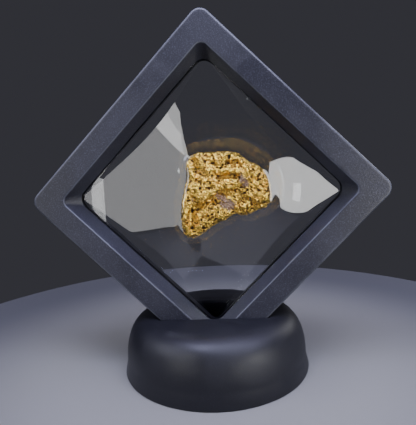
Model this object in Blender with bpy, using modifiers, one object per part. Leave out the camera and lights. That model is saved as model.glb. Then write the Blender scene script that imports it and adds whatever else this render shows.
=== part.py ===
"""A gold nugget held between two clear films in a square black display case.

The case is two moulded halves that close on each other, each with a film stretched
across its window. The films are pushed apart by the nugget and grip it between them.
The closed case stands on one corner in a V-shaped slot in a round foot.

Frame: metres, +Z up. The origin is the centre of the foot's underside. The case faces -Y.
"""

import math

import bmesh
import bpy
import numpy as np
from mathutils import Matrix, Vector, noise
from mathutils.bvhtree import BVHTree

MM = 0.001

# Gap left between pieces that touch in the real object.
TOUCH_GAP = 0.3 * MM

# Case: two halves that meet on the plane y = 0.
CASE_SIDE = 90 * MM
CASE_DEPTH = 20 * MM
CORNER_RADIUS = 4 * MM
RIM_ROUND = 0.9 * MM
PARTING_CHAMFER = 0.4 * MM
WINDOW_AT_FACE = 73.2 * MM
WINDOW_AT_FILM = 70 * MM
WINDOW_CORNER_AT_FACE = 2.6 * MM
WINDOW_CORNER_AT_FILM = 4.4 * MM
MOUTH_ROUND = 0.3 * MM
SEAT_SIDE = 75 * MM
SEAT_CORNER = 0.6 * MM
SEAT_DEPTH = 1.2 * MM
TONGUE_MIDDLE = 41 * MM
TONGUE_WIDTH = 1.6 * MM
TONGUE_HEIGHT = 1.35 * MM
TONGUE_CORNER = 2.4 * MM
CORNER_STEPS = 5

# The case stands on a corner, so its own square axes are turned an eighth of a turn.
CASE_TURN = Matrix.Rotation(math.radians(45), 3, "Y")
SMOOTH_ANGLE = math.radians(32)
MERGE_DISTANCE = 0.01 * MM

# Foot: a turned shape with a flat top, and a slot for the case's lowest corner.
FOOT_HEIGHT = 20 * MM
FOOT_RADIUS = 34.3 * MM
FOOT_SHOULDER_RADIUS = 33.4 * MM
FOOT_TOP_RADIUS = 23.4 * MM
FOOT_SHOULDER_DROP = 15.5 * MM
FOOT_SHOULDER_POWER = 2.4
FOOT_EDGE = 0.5 * MM
FOOT_STEPS = 44
FOOT_SHOULDER_STEPS = 8
CASE_CENTRE_HEIGHT = 64 * MM

# Films: each is gripped round the window and stretched over one side of the nugget.
FILM_SIDE = 74 * MM
FILM_THICKNESS = 0.3 * MM
FILM_LINES = 19
FILM_CROWDING = 1.5
SOLVE_PITCH = 1 * MM
SOLVE_STEPS = 2500
CONTACT_SPREAD = 2
FRONT, BACK = -1, 1

# Nugget, in the case's own axes: x to the right and z up from the centre of the window.
NUGGET_HEART = (6.0 * MM, 1.0 * MM)
NUGGET_FRONT = 6.0 * MM
NUGGET_BACK = 5.7 * MM
PILLOW_POWER = 4.6
RELIEF_FADE = 1.6
ICO_SUBDIVISIONS = 5

# Bearing from the heart in degrees, anticlockwise from +x, and reach in millimetres.
NUGGET_OUTLINE = (
    (6, 16.3), (19, 15.7), (29, 15.0), (39, 14.1), (49, 13.3), (60, 13.1), (73, 13.9),
    (92, 14.0), (107, 14.4), (122, 16.4), (134, 17.6), (144, 17.3), (154, 15.2),
    (165, 14.1), (177, 14.8), (193, 16.0), (210, 19.3), (223, 22.0), (232, 22.5),
    (238, 19.6), (244, 14.6), (256, 11.9), (269, 10.4), (280, 9.6), (291, 9.0),
    (300, 10.2), (313, 12.0), (327, 14.4), (340, 16.1), (352, 16.4),
)

# The broken step across the front, as (x, z) in millimetres. The gold below it lies deeper.
LEDGE = ((-7.0, -4.4), (-4.7, -3.9), (-1.0, -2.6), (1.2, -0.9), (4.1, 1.1), (7.0, 1.6),
         (10.9, 0.9), (13.0, -1.2), (17.0, -3.6), (21.0, -4.0))
LEDGE_DROP = 1.7 * MM
LEDGE_SOFTNESS = 0.9 * MM
LEFT_RIM_X = -7.4 * MM

# Strokes on the front, in millimetres: x0, z0, x1, z1, radius, height. Pits are negative.
FRONT_STROKES = (
    (-5.2, 11.6, -4.6, 9.4, 1.7, -1.5),     # hollow of the ear
    (-7.2, 12.0, -5.2, 6.6, 0.9, 0.7),      # rim of the ear
    (1.4, 13.4, 9.4, 13.2, 1.5, 0.6),       # brow
    (12.2, 11.4, 14.2, 6.0, 1.2, 0.8),      # rope on the right of the brow
    (-3.0, 6.5, 10.6, 6.2, 1.0, -1.3),      # valley under the brow
    (4.9, 6.0, 6.4, 6.0, 0.9, -1.2),        # its deepest hole
    (-2.6, -0.2, 2.4, 3.0, 2.2, 0.8),       # plateau above the ledge
    (15.8, 3.0, 19.4, -0.4, 3.0, 0.6),      # right lobe
    (10.6, -5.4, 13.6, -4.8, 1.3, 1.1),     # lumps on the lower lip
    (-2.0, -6.4, 1.6, -6.2, 1.7, 0.8),      # lump inside the leg
    (-8.9, -1.6, -8.8, -11.6, 1.3, 0.9),    # smooth rim down the left side
    (7.0, 10.5, 7.0, 10.5, 1.1, -1.5),
    (9.1, 10.3, 9.9, 11.3, 0.9, -1.3),
    (11.3, 10.4, 11.2, 11.8, 0.6, -1.1),
    (0.6, 11.0, 2.4, 10.8, 0.7, -0.9),
    (4.2, 9.6, 5.0, 10.2, 0.6, -0.9),
    (16.1, 3.8, 16.9, 4.8, 0.6, -1.2),
    (18.5, 4.4, 19.2, 3.4, 0.8, -1.0),
    (17.1, -1.3, 17.1, -1.3, 1.0, -0.9),
    (-6.0, -2.2, -6.0, -2.2, 0.7, -1.2),
    (-5.2, -5.4, -6.0, -8.2, 1.2, -1.5),
    (-7.2, -10.6, -6.6, -12.6, 0.9, -1.4),
    (-1.2, 2.0, 0.6, 2.6, 0.6, -0.9),
    (10.9, 1.1, 11.6, 0.0, 1.1, -1.1),
    (14.6, -4.6, 15.8, -5.0, 0.7, -1.0),
    (-1.0, -9.2, 1.2, -8.4, 0.9, -1.0),
)

# Strokes scattered over the back: shortest and longest run, and so on, in millimetres.
BACK_STROKE_COUNT = 34
BACK_SEED = 7
BACK_SPREAD = 0.85
BACK_RUN = (0.6, 3.2)
BACK_RADIUS = (0.8, 1.9)
BACK_PIT = (-1.1, -1.6)
BACK_LUMP = 0.9
BACK_LUMP_EVERY = 3

LUMP_SCALE = 5.2 * MM
LUMP_HEIGHT = 0.75 * MM
LUMP_OCTAVES = 2
LUMP_FACING = 1.6
KNOB_SCALE = 2.3 * MM
KNOB_HEIGHT = 0.42 * MM

BLACK_PLASTIC = ((0.022, 0.022, 0.030), 0.55, 0.0)
CLEAR_FILM = ((0.95, 0.96, 0.97), 0.05, 0.0)
GOLD = ((0.83, 0.55, 0.16), 0.35, 1.0)


def clear_scene():
    """Removes whatever the file opened with."""
    for obj in list(bpy.data.objects):
        bpy.data.objects.remove(obj)


def material(name, finish):
    """A plain material from a finish: its colour, roughness and metallic share."""
    colour, roughness, metallic = finish
    made = bpy.data.materials.new(name)
    made.use_nodes = True
    shader = made.node_tree.nodes["Principled BSDF"]
    shader.inputs["Base Color"].default_value = (*colour, 1.0)
    shader.inputs["Roughness"].default_value = roughness
    shader.inputs["Metallic"].default_value = metallic
    return made


def object_of(name, bm, finish, collection, parent=None):
    """Turns a bmesh into a linked object with outward faces and its own material."""
    bmesh.ops.recalc_face_normals(bm, faces=bm.faces)
    mesh = bpy.data.meshes.new(name)
    bm.to_mesh(mesh)
    bm.free()
    mesh.shade_smooth()
    mesh.set_sharp_from_angle(angle=SMOOTH_ANGLE)
    mesh.materials.append(material(name, finish))
    obj = bpy.data.objects.new(name, mesh)
    obj.parent = parent
    collection.objects.link(obj)
    return obj


def empty(name, collection, parent=None):
    """A linked empty that other pieces hang from."""
    made = bpy.data.objects.new(name, None)
    made.parent = parent
    collection.objects.link(made)
    return made


# ---------------------------------------------------------------- case


def rounded_square(half, radius, y):
    """Points round a square with rounded corners, in a plane of constant y."""
    points = []
    for corner in range(4):
        turn = Matrix.Rotation(corner * math.pi / 2, 3, "Y")
        for step in range(CORNER_STEPS + 1):
            angle = step / CORNER_STEPS * math.pi / 2
            reach = half - radius
            at = Vector((reach + radius * math.cos(angle), y, -reach - radius * math.sin(angle)))
            points.append(turn @ at)
    return points


def join_rings(bm, near, far):
    """Closes the strip between two rings that have the same number of points."""
    for i in range(len(near)):
        after = (i + 1) % len(near)
        bm.faces.new((near[i], near[after], far[after], far[i]))


def half_sections(has_tongue):
    """The half's section as (half width, corner radius, y), all the way round, front half.

    It runs from the parting line over the outside, the face, the window's wall and the
    film's seat, and back along the mating face with its tongue or groove.
    """
    half, window, film, seat = (w / 2 for w in (CASE_SIDE, WINDOW_AT_FACE, WINDOW_AT_FILM, SEAT_SIDE))
    face, mating = -CASE_DEPTH / 2, -TOUCH_GAP / 2
    slope = 1 - math.sqrt(0.5)
    spare = 0 if has_tongue else TOUCH_GAP
    inner, outer = TONGUE_MIDDLE - TONGUE_WIDTH / 2 - spare, TONGUE_MIDDLE + TONGUE_WIDTH / 2 + spare
    tip = TONGUE_HEIGHT if has_tongue else -TONGUE_HEIGHT - TOUCH_GAP
    return (
        (half - PARTING_CHAMFER, CORNER_RADIUS - PARTING_CHAMFER, mating),
        (half, CORNER_RADIUS, mating - PARTING_CHAMFER),
        (half, CORNER_RADIUS, face + RIM_ROUND),
        (half - slope * RIM_ROUND, CORNER_RADIUS - slope * RIM_ROUND, face + slope * RIM_ROUND),
        (half - RIM_ROUND, CORNER_RADIUS - RIM_ROUND, face),
        (window + MOUTH_ROUND, WINDOW_CORNER_AT_FACE + MOUTH_ROUND, face),
        (window, WINDOW_CORNER_AT_FACE, face + MOUTH_ROUND),
        (film, WINDOW_CORNER_AT_FILM, -SEAT_DEPTH),
        (seat, SEAT_CORNER, -SEAT_DEPTH),
        (seat, SEAT_CORNER, mating),
        (inner, TONGUE_CORNER, mating),
        (inner, TONGUE_CORNER, tip),
        (outer, TONGUE_CORNER, tip),
        (outer, TONGUE_CORNER, mating),
    )


def case_half(name, has_tongue, collection, case_axes):
    """One moulded half, lofted round its sections. The front half carries the tongue."""
    bm = bmesh.new()
    rings = [[bm.verts.new(p) for p in rounded_square(*section)] for section in half_sections(has_tongue)]
    for near, far in zip(rings, rings[1:] + rings[:1]):
        join_rings(bm, near, far)
    half = object_of(name, bm, BLACK_PLASTIC, collection, case_axes)
    if not has_tongue:
        half.rotation_euler.z = math.pi
    return half


# ---------------------------------------------------------------- foot


def foot_profile():
    """The turned foot's outline at +X, from the middle of the top down to the underside."""
    points = [(0, FOOT_HEIGHT), (FOOT_TOP_RADIUS, FOOT_HEIGHT)]
    width = FOOT_SHOULDER_RADIUS - FOOT_TOP_RADIUS
    for step in range(1, FOOT_SHOULDER_STEPS + 1):
        angle = step / FOOT_SHOULDER_STEPS * math.pi / 2
        out = math.sin(angle) ** (2 / FOOT_SHOULDER_POWER)
        down = 1 - math.cos(angle) ** (2 / FOOT_SHOULDER_POWER)
        points.append((FOOT_TOP_RADIUS + width * out, FOOT_HEIGHT - FOOT_SHOULDER_DROP * down))
    points += [(FOOT_RADIUS, FOOT_EDGE), (FOOT_RADIUS - FOOT_EDGE, 0), (0, 0)]
    return points


def foot(collection, cutter):
    """The foot, turned from its outline, with the case's slot cut into its top."""
    bm = bmesh.new()
    ring = [bm.verts.new((x, 0, z)) for x, z in foot_profile()]
    for a, b in zip(ring, ring[1:]):
        bm.edges.new((a, b))
    mesh = bpy.data.meshes.new("foot")
    bm.to_mesh(mesh)
    bm.free()
    mesh.materials.append(material("foot", BLACK_PLASTIC))
    made = bpy.data.objects.new("foot", mesh)
    collection.objects.link(made)
    turned = made.modifiers.new("turned", "SCREW")
    turned.axis = "Z"
    turned.steps = turned.render_steps = FOOT_STEPS
    turned.use_merge_vertices = True
    turned.merge_threshold = MERGE_DISTANCE
    cut = made.modifiers.new("slot", "BOOLEAN")
    cut.operation = "DIFFERENCE"
    cut.solver = "EXACT"
    cut.object = cutter
    return made


def slot_cutter(collection, case_axes):
    """The closed case's own outline, grown by the touch gap."""
    bm = bmesh.new()
    depth = CASE_DEPTH / 2 + TOUCH_GAP
    half, radius = CASE_SIDE / 2 + TOUCH_GAP, CORNER_RADIUS + TOUCH_GAP
    rings = [[bm.verts.new(p) for p in rounded_square(half, radius, y)] for y in (-depth, depth)]
    join_rings(bm, *rings)
    for ring in rings:
        bm.faces.new(ring)
    made = object_of("slot_cutter", bm, BLACK_PLASTIC, collection, case_axes)
    made.hide_render = True
    made.display_type = "WIRE"
    return made


# ---------------------------------------------------------------- nugget


def outline_reach(bearing):
    """Distance from the heart to the outline at a bearing in degrees."""
    bearings, reaches = zip(*NUGGET_OUTLINE)
    return float(np.interp(bearing, bearings, reaches, period=360)) * MM


def stroke_relief(x, z, strokes):
    """Height added at (x, z) by strokes: rounded ridges and pits along short lines."""
    total = 0.0
    for x0, z0, x1, z1, radius, height in strokes:
        start, run = Vector((x0, z0)) * MM, Vector((x1 - x0, z1 - z0)) * MM
        offset = Vector((x, z)) - start
        along = offset.dot(run) / run.length_squared if run.length else 0.0
        along = max(0.0, min(1.0, along))
        away = (offset - run * along).length / (radius * MM)
        total += height * MM * math.exp(-away * away)
    return total


def smooth_step(t):
    """Eases from 0 to 1 as t does."""
    t = max(0.0, min(1.0, t))
    return t * t * (3 - 2 * t)


def ledge_relief(x, z):
    """How far the gold below the broken step is set back."""
    xs, zs = zip(*LEDGE)
    step_z = float(np.interp(x / MM, xs, zs)) * MM
    below = smooth_step((step_z - z) / LEDGE_SOFTNESS + 0.5)
    inside = smooth_step((x - LEFT_RIM_X) / LEDGE_SOFTNESS + 0.5)
    return -LEDGE_DROP * below * inside


def random_between(limits):
    """A random value between two limits, from Blender's seeded generator."""
    low, high = limits
    return low + (high - low) * noise.random()


def back_strokes():
    """Pits and lumps scattered over the back, the same ones each time."""
    noise.seed_set(BACK_SEED)
    strokes = []
    for number in range(BACK_STROKE_COUNT):
        bearing, share = noise.random() * 360, math.sqrt(noise.random()) * BACK_SPREAD
        reach = outline_reach(bearing) / MM * share
        x = NUGGET_HEART[0] / MM + reach * math.cos(math.radians(bearing))
        z = NUGGET_HEART[1] / MM + reach * math.sin(math.radians(bearing))
        lean, run = noise.random() * math.tau, random_between(BACK_RUN)
        height = random_between(BACK_PIT) if number % BACK_LUMP_EVERY else BACK_LUMP
        strokes.append((x, z, x + run * math.cos(lean), z + run * math.sin(lean),
                        random_between(BACK_RADIUS), height))
    return strokes


def nugget_point(direction, rear_strokes):
    """Where the nugget's skin lies in one direction of the unit sphere, in case axes."""
    spread = math.hypot(direction.x, direction.z)
    bearing = math.degrees(math.atan2(direction.z, direction.x)) % 360
    reach = outline_reach(bearing) * spread
    x = NUGGET_HEART[0] + reach * math.cos(math.radians(bearing))
    z = NUGGET_HEART[1] + reach * math.sin(math.radians(bearing))
    front = direction.y < 0
    swell = max(0.0, 1 - spread ** PILLOW_POWER) ** (1 / PILLOW_POWER)
    thickness = NUGGET_FRONT if front else NUGGET_BACK
    if front:
        relief = stroke_relief(x, z, FRONT_STROKES) + ledge_relief(x, z)
    else:
        relief = stroke_relief(x, z, rear_strokes)
    depth = thickness * swell + relief * min(1.0, RELIEF_FADE * swell)
    y = -depth if front else depth
    skin = Vector((x, y, z))
    outward = Vector((direction.x, direction.y * LUMP_FACING, direction.z)).normalized()
    lumps = noise.fractal(skin / LUMP_SCALE, 1.0, 2.0, LUMP_OCTAVES) * LUMP_HEIGHT
    knobs = (0.5 - abs(noise.noise(skin / KNOB_SCALE))) * 2 * KNOB_HEIGHT - KNOB_HEIGHT
    return skin + outward * (lumps + knobs)


def nugget(collection, window_centre):
    """The nugget, as a sphere pushed out to its outline, thickness and relief."""
    bm = bmesh.new()
    bmesh.ops.create_icosphere(bm, subdivisions=ICO_SUBDIVISIONS, radius=1.0)
    rear_strokes = back_strokes()
    for vert in bm.verts:
        vert.co = nugget_point(vert.co.normalized(), rear_strokes)
    return object_of("nugget", bm, GOLD, collection, window_centre)


# ---------------------------------------------------------------- films


def nugget_heights(tree, side, points):
    """How far the nugget stands out from the parting plane at each point, 0 beside it."""
    heights = np.zeros(len(points))
    for i, point in enumerate(points):
        start = Vector((point.x, side * CASE_DEPTH, point.z))
        hit = tree.ray_cast(start, Vector((0, -side, 0)))[0]
        if hit is not None:
            heights[i] = max(0.0, side * hit.y)
    return heights


def spread_peaks(field, reach):
    """The field's highest value within a number of grid steps, round each grid point."""
    padded = np.pad(field, reach)
    rows, columns = field.shape
    result = field.copy()
    for i in range(2 * reach + 1):
        for j in range(2 * reach + 1):
            if math.hypot(i - reach, j - reach) <= reach + 0.5:
                result = np.maximum(result, padded[i:i + rows, j:j + columns])
    return result


def stretched_heights(obstacle):
    """Relaxes a sheet held at its edges and lying on the obstacle, as taut film does."""
    sheet = obstacle.copy()
    for _ in range(SOLVE_STEPS):
        level = (sheet[2:, 1:-1] + sheet[:-2, 1:-1] + sheet[1:-1, 2:] + sheet[1:-1, :-2]) / 4
        sheet[1:-1, 1:-1] = np.maximum(level, obstacle[1:-1, 1:-1])
    return sheet


def film_lines(middle):
    """Grid lines across the film, crowded towards the nugget, with the last pair at the grip."""
    t = np.linspace(-1, 1, FILM_LINES - 2)
    curve = np.sinh(t * FILM_CROWDING) / math.sinh(FILM_CROWDING)
    half = WINDOW_AT_FILM / 2
    inside = np.where(curve < 0, middle + curve * (half + middle), middle + curve * (half - middle))
    return np.concatenate([[-FILM_SIDE / 2], inside, [FILM_SIDE / 2]])


def film(name, side, tree, collection, case_axes):
    """One clear film. side is FRONT or BACK, the sign of the way that it bulges along Y."""
    half, steps = WINDOW_AT_FILM / 2, round(WINDOW_AT_FILM / SOLVE_PITCH)
    axis = np.linspace(-half, half, steps + 1)
    points = [CASE_TURN @ Vector((u, 0, v)) for u in axis for v in axis]
    bare = nugget_heights(tree, side, points).reshape(steps + 1, steps + 1)
    rest = SEAT_DEPTH - TOUCH_GAP - FILM_THICKNESS / 2
    clearance = TOUCH_GAP + FILM_THICKNESS / 2
    obstacle = np.where(bare > 0, bare + clearance - rest, 0.0)
    sheet = stretched_heights(spread_peaks(obstacle, CONTACT_SPREAD))

    heart = CASE_TURN.inverted() @ Vector((NUGGET_HEART[0], 0, NUGGET_HEART[1]))
    us, vs = film_lines(heart.x), film_lines(heart.z)
    bm = bmesh.new()
    grid = [[None] * len(vs) for _ in us]
    for i, u in enumerate(us):
        for j, v in enumerate(vs):
            at_u = np.interp(u, axis, np.arange(steps + 1))
            at_v = np.interp(v, axis, np.arange(steps + 1))
            low_u, low_v = min(int(at_u), steps - 1), min(int(at_v), steps - 1)
            patch = sheet[low_u:low_u + 2, low_v:low_v + 2]
            mix_u, mix_v = at_u - low_u, at_v - low_v
            height = np.array([1 - mix_u, mix_u]) @ patch @ np.array([1 - mix_v, mix_v])
            grid[i][j] = bm.verts.new((u, side * (rest + float(height)), v))
    for i in range(len(us) - 1):
        for j in range(len(vs) - 1):
            bm.faces.new((grid[i][j], grid[i + 1][j], grid[i + 1][j + 1], grid[i][j + 1]))
    made = object_of(name, bm, CLEAR_FILM, collection, case_axes)
    shell = made.modifiers.new("thickness", "SOLIDIFY")
    shell.thickness = FILM_THICKNESS
    shell.offset = 0
    shell.use_even_offset = True
    return made


def main():
    clear_scene()
    display = bpy.data.collections.new("gold_nugget_display")
    cutters = bpy.data.collections.new("cutters")
    for collection in (display, cutters):
        bpy.context.scene.collection.children.link(collection)
    window_centre = empty("window_centre", display)
    window_centre.location.z = CASE_CENTRE_HEIGHT
    case_axes = empty("case_axes", display, window_centre)
    case_axes.rotation_euler = CASE_TURN.to_euler()

    case_half("case_front", True, display, case_axes)
    case_half("case_back", False, display, case_axes)
    foot(display, slot_cutter(cutters, case_axes))
    gold = nugget(display, window_centre)
    skin = gold.data
    tree = BVHTree.FromPolygons([v.co for v in skin.vertices], [p.vertices for p in skin.polygons])
    film("film_front", FRONT, tree, display, case_axes)
    film("film_back", BACK, tree, display, case_axes)


main()
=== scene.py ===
"""Dresses a gold nugget that two clear films hold in a square black case on a round foot.

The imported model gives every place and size. Each class below builds one sub-assembly in its place,
and each finish builds one material. Lengths are in metres, and +Z is up.
"""

import logging
import math
from dataclasses import asdict, dataclass, field
from enum import Enum
from functools import cached_property

import bmesh
import bpy
import numpy as np
from mathutils import Matrix, Vector
from mathutils.bvhtree import BVHTree


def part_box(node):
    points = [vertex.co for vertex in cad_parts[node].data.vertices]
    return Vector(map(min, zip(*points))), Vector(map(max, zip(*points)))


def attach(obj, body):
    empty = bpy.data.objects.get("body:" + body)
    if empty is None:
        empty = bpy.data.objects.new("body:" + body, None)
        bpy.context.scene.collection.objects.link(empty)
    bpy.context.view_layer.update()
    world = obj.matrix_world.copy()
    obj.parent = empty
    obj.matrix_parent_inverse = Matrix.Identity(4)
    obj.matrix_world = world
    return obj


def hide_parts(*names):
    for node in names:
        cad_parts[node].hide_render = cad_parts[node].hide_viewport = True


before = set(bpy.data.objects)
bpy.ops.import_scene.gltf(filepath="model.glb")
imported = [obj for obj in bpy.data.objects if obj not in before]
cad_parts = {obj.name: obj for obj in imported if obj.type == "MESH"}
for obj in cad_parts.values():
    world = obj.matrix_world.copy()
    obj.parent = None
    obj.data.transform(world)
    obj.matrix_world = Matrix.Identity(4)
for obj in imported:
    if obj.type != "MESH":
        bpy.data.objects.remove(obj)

log = logging.getLogger("gold_nugget_display")

MM = 0.001
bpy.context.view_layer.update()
CASE_TURN = Matrix.Rotation(math.radians(45), 3, "Y")
NOISE_MIDDLE = 0.5

Colour = tuple[float, float, float]
Point = tuple[float, float, float]
Span = tuple[float, float]
Route = tuple[tuple[float, float], ...]


class Side(Enum):
    """Which way a film or a half of the case faces. The value is the sign of its outward Y."""

    FRONT = -1
    BACK = 1


# ------------------------------------------------------------------------------ building tools


class Wire:
    """A node's output. Plain arithmetic on it adds Math nodes."""

    def __init__(self, canvas: "NodeCanvas", socket: bpy.types.NodeSocket) -> None:
        """Starts on an output.

        Args:
            canvas: The tree that the output is in.
            socket: The output.
        """
        self.canvas = canvas
        self.socket = socket

    def __add__(self, other: object) -> "Wire":
        """Adds another value."""
        return self.canvas.math("ADD", self, other)

    def __sub__(self, other: object) -> "Wire":
        """Takes another value away."""
        return self.canvas.math("SUBTRACT", self, other)

    def __rsub__(self, other: float) -> "Wire":
        """Takes this away from a number."""
        return self.canvas.math("SUBTRACT", other, self)

    def __mul__(self, other: object) -> "Wire":
        """Multiplies by another value."""
        return self.canvas.math("MULTIPLY", self, other)

    def __truediv__(self, other: object) -> "Wire":
        """Divides by another value."""
        return self.canvas.math("DIVIDE", self, other)

    def __rtruediv__(self, other: float) -> "Wire":
        """Divides a number by this."""
        return self.canvas.math("DIVIDE", other, self)

    def remap(self, span: Span, to_low: float = 0.0, to_high: float = 1.0) -> "Wire":
        """Maps a range of values onto another, easing in and out, with its ends held.

        Args:
            span: Start and end of the range.
            to_low: Result at the start.
            to_high: Result at the end.

        Returns:
            The mapped value.
        """
        low, high = span
        inputs = {"Value": self, "From Min": low, "From Max": high, "To Min": to_low, "To Max": to_high}
        return self.canvas.out("ShaderNodeMapRange", "Result", inputs, interpolation_type="SMOOTHSTEP")


class NodeCanvas:
    """Adds nodes to one node tree and wires them together."""

    def __init__(self, tree: bpy.types.NodeTree) -> None:
        """Starts on a tree.

        Args:
            tree: The shader or geometry tree that the nodes go into.
        """
        self.tree = tree

    def add(self, kind: str, inputs: dict | None = None, **settings: object) -> bpy.types.Node:
        """Adds a node, sets it up and connects it.

        Args:
            kind: The node's type name.
            inputs: Wires or plain values by input name or number.
            **settings: Properties of the node itself.

        Returns:
            The new node.
        """
        node = self.tree.nodes.new(kind)
        for name, value in settings.items():
            setattr(node, name, value)
        self.fill(node, inputs or {})
        return node

    def fill(self, node: bpy.types.Node, inputs: dict) -> None:
        """Connects or sets several of a node's inputs.

        Args:
            node: The node.
            inputs: Wires or plain values by input name or number.
        """
        for key, value in inputs.items():
            if isinstance(value, Wire):
                self.tree.links.new(value.socket, node.inputs[key])
            else:
                node.inputs[key].default_value = value

    def read(self, node: bpy.types.Node, name: str | int) -> Wire:
        """Returns one of a node's outputs."""
        return Wire(self, node.outputs[name])

    def out(self, kind: str, name: str | int, inputs: dict | None = None, **settings: object) -> Wire:
        """Adds a node and returns one of its outputs."""
        return self.read(self.add(kind, inputs, **settings), name)

    def math(self, operation: str, *values: object, clamp: bool = False) -> Wire:
        """Adds a Math node and returns its result."""
        inputs = dict(enumerate(values))
        return self.out("ShaderNodeMath", 0, inputs, operation=operation, use_clamp=clamp)

    def mix(self, share: Wire, first: Wire | Colour, second: Wire | Colour) -> Wire:
        """Mixes two colours.

        Args:
            share: How much of the second colour shows.
            first: The colour at 0.
            second: The colour at 1.

        Returns:
            The mixed colour.
        """
        first, second = (c if isinstance(c, Wire) else rgba(c) for c in (first, second))
        # The sockets of a Mix node share their names, so its colours are reached by number.
        return self.out("ShaderNodeMix", 2, {0: share, 6: first, 7: second}, data_type="RGBA")

    def noise(self, where: Wire, size: float | Wire, detail: float = 2.0, roughness: float = 0.6,
              distortion: float = 0.0, output: str = "Fac") -> Wire:
        """Adds a noise whose blobs are about one size.

        Args:
            where: The coordinate to read it at.
            size: The size of a blob, in metres.
            detail: How many finer layers it has.
            roughness: How strong the finer layers are.
            distortion: How much it is swirled.
            output: Which of its outputs to give.

        Returns:
            The output.
        """
        inputs = {"Vector": where, "Scale": 1 / size, "Detail": detail, "Roughness": roughness,
                  "Distortion": distortion}
        return self.out("ShaderNodeTexNoise", output, inputs)

    def object_place(self) -> Wire:
        """Returns the place of a point in its object's own axes."""
        return self.out("ShaderNodeTexCoord", "Object")

    def attribute(self, name: str) -> Wire:
        """Returns a number that the mesh keeps for each vertex."""
        return self.out("ShaderNodeAttribute", "Fac", attribute_name=name)

    def bump(self, height: Wire, depth: float) -> Wire:
        """Returns the normal of a surface that a height raises by up to a depth in metres."""
        inputs = {"Height": height, "Distance": depth, "Strength": 1.0}
        return self.out("ShaderNodeBump", "Normal", inputs)


def rgba(colour: Colour) -> tuple[float, float, float, float]:
    """Returns a colour with full alpha."""
    return (*colour, 1.0)


def object_from(name: str, data: bpy.types.ID) -> bpy.types.Object:
    """Links a new object to the scene.

    Args:
        name: The object's name.
        data: Its mesh, lamp or camera.

    Returns:
        The object.
    """
    made = bpy.data.objects.new(name, data)
    bpy.context.scene.collection.objects.link(made)
    return made


def mesh_from(bm: bmesh.types.BMesh, name: str) -> bpy.types.Mesh:
    """Turns a bmesh into a mesh whose faces look outward.

    Args:
        bm: The bmesh, which is freed.
        name: The mesh's name.

    Returns:
        The mesh.
    """
    bmesh.ops.recalc_face_normals(bm, faces=bm.faces)
    mesh = bpy.data.meshes.new(name)
    bm.to_mesh(mesh)
    bm.free()
    return mesh


def settle(obj: bpy.types.Object) -> None:
    """Applies an object's modifiers to its mesh.

    Args:
        obj: The object, whose modifiers are then removed.
    """
    depsgraph = bpy.context.evaluated_depsgraph_get()
    plain = bpy.data.meshes.new_from_object(obj.evaluated_get(depsgraph), depsgraph=depsgraph)
    obj.modifiers.clear()
    obj.data = plain


def loft(rings: list[list[Vector]], name: str, rubbed: list[float] | None = None) -> bpy.types.Mesh:
    """Joins rings of points into one closed solid.

    Args:
        rings: The rings, each with the same number of points.
        name: The mesh's name.
        rubbed: How much rubbing wear and painted edge highlight each ring carries, from 0
        to 1, for a solid that returns to its first ring. Without it, the solid is capped at its first
        and last rings.

    Returns:
        The closed mesh, with the rubbing wear and painted edge highlight kept for its finish to read.
    """
    bm = bmesh.new()
    layer = bm.verts.layers.float.new("rubbed")
    verts = [[bm.verts.new(point) for point in ring] for ring in rings]
    for ring, amount in zip(verts, rubbed or ()):
        for vert in ring:
            vert[layer] = amount
    for near, far in zip(verts, verts[1:] + (verts[:1] if rubbed else [])):
        for i in range(len(near)):
            after = (i + 1) % len(near)
            bm.faces.new((near[i], near[after], far[after], far[i]))
    if not rubbed:
        bm.faces.new(verts[0])
        bm.faces.new(verts[-1])
    return mesh_from(bm, name)


def tree_of(mesh: bpy.types.Mesh) -> BVHTree:
    """Returns a mesh's faces in a form that rays can be cast at."""
    return BVHTree.FromPolygons([v.co for v in mesh.vertices], [p.vertices for p in mesh.polygons])


def quarter_turns(steps: int) -> list[float]:
    """Returns angles that go from 0 to a quarter turn in a number of steps."""
    return [step / steps * math.pi / 2 for step in range(steps + 1)]


def shade(mesh: bpy.types.Mesh, angle: float = 28.0) -> None:
    """Shades a mesh smooth, apart from edges sharper than an angle in degrees."""
    mesh.shade_smooth()
    mesh.set_sharp_from_angle(angle=math.radians(angle))


# ------------------------------------------------------------------------------ finishes


@dataclass(frozen=True)
class Finish:
    """A material with a name. Each kind of finish wires its own nodes."""

    name: str

    @cached_property
    def material(self) -> bpy.types.Material:
        """Makes the material when the first piece asks for it.

        Returns:
            The material, with its nodes wired.
        """
        made = bpy.data.materials.new(self.name)
        made.use_nodes = True
        shader = made.node_tree.nodes["Principled BSDF"]
        self.wire(NodeCanvas(made.node_tree), shader)
        return made

    def wire(self, canvas: NodeCanvas, shader: bpy.types.Node) -> None:
        """Wires the finish's nodes into the shader.

        Args:
            canvas: The material's tree.
            shader: Its Principled node.
        """
        raise NotImplementedError


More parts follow.
